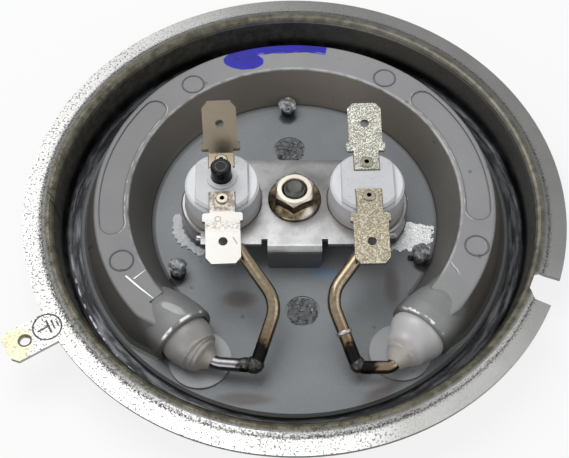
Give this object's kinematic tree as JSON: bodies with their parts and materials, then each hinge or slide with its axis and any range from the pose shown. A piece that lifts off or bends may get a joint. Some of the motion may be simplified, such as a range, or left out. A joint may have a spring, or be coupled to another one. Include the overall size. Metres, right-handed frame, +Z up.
{
  "type": "cast-in heater plate",
  "caption": "Round flanged steel pan with a horseshoe heating tube cast under aluminium, sealed wire ends and clamped ceramic safety cut-outs.",
  "frame": {"origin": "centre of the flat wetted bottom of the pan", "axes": "+Z up, away from the water, through the stud; -Y towards the front, where the two tube ends come out; +X to the right"},
  "size_m": [0.1026, 0.102, 0.0241],
  "materials": {
    "stainless_sheet": "satin",
    "cast_aluminium": "as cast",
    "tube_steel": "heat darkened",
    "packed_powder": "matte",
    "resistance_wire": "dull",
    "pin_steel": "heat tinted",
    "white_silicone": "satin",
    "stud_steel": "dull zinc",
    "yellow_zinc": "yellow passivated",
    "bracket_aluminium": "satin",
    "cap_aluminium": "satin",
    "bimetal": "satin",
    "guide_plastic": "matte",
    "ceramic": "unglazed",
    "contact_alloy": "satin",
    "plated_terminal": "silver plated",
    "rivet_brass": "plated",
    "black_plastic": "gloss"
  },
  "bodies": {
    "base": {"flanged_pan": "stainless_sheet", "heater_casting": "cast_aluminium", "element_sheath": "tube_steel", "insulation_fill": "packed_powder", "heating_coil": "resistance_wire", "cold_pin_left": "pin_steel", "cold_pin_right": "pin_steel", "end_seal_left": "white_silicone", "end_seal_right": "white_silicone", "stud": "stud_steel", "flange_nut": "yellow_zinc", "clamp_bracket": "bracket_aluminium", "reset_cutout_cap": "cap_aluminium", "reset_cutout_disc": "bimetal", "reset_cutout_guide": "guide_plastic", "reset_cutout_body": "ceramic", "reset_cutout_arm": "contact_alloy", "reset_front_terminal": "plated_terminal", "reset_rear_terminal": "plated_terminal", "reset_rivets": "rivet_brass", "auto_cutout_cap": "cap_aluminium", "auto_cutout_disc": "bimetal", "auto_cutout_guide": "guide_plastic", "auto_cutout_body": "ceramic", "auto_cutout_arm": "contact_alloy", "auto_front_terminal": "plated_terminal", "auto_rear_terminal": "plated_terminal", "auto_rivets": "rivet_brass"},
    "button": {"reset_button": "black_plastic"},
    "sleeve": {"reset_cutout_sleeve": "ceramic"},
    "pin": {"auto_cutout_pin": "ceramic"}
  },
  "joints": [
    {"name": "button_press", "type": "slide", "parent": "base", "child": "button", "axis": [0, 0, -1], "range_m": [0, 0.0008], "stiffness_N_per_m": 150},
    {"name": "sleeve_lift", "type": "slide", "parent": "base", "child": "sleeve", "axis": [0, 0, 1], "range_m": [0, 0.0003], "stiffness_N_per_m": 150},
    {"name": "pin_lift", "type": "slide", "parent": "base", "child": "pin", "axis": [0, 0, 1], "range_m": [0, 0.0003], "stiffness_N_per_m": 150}
  ]
}
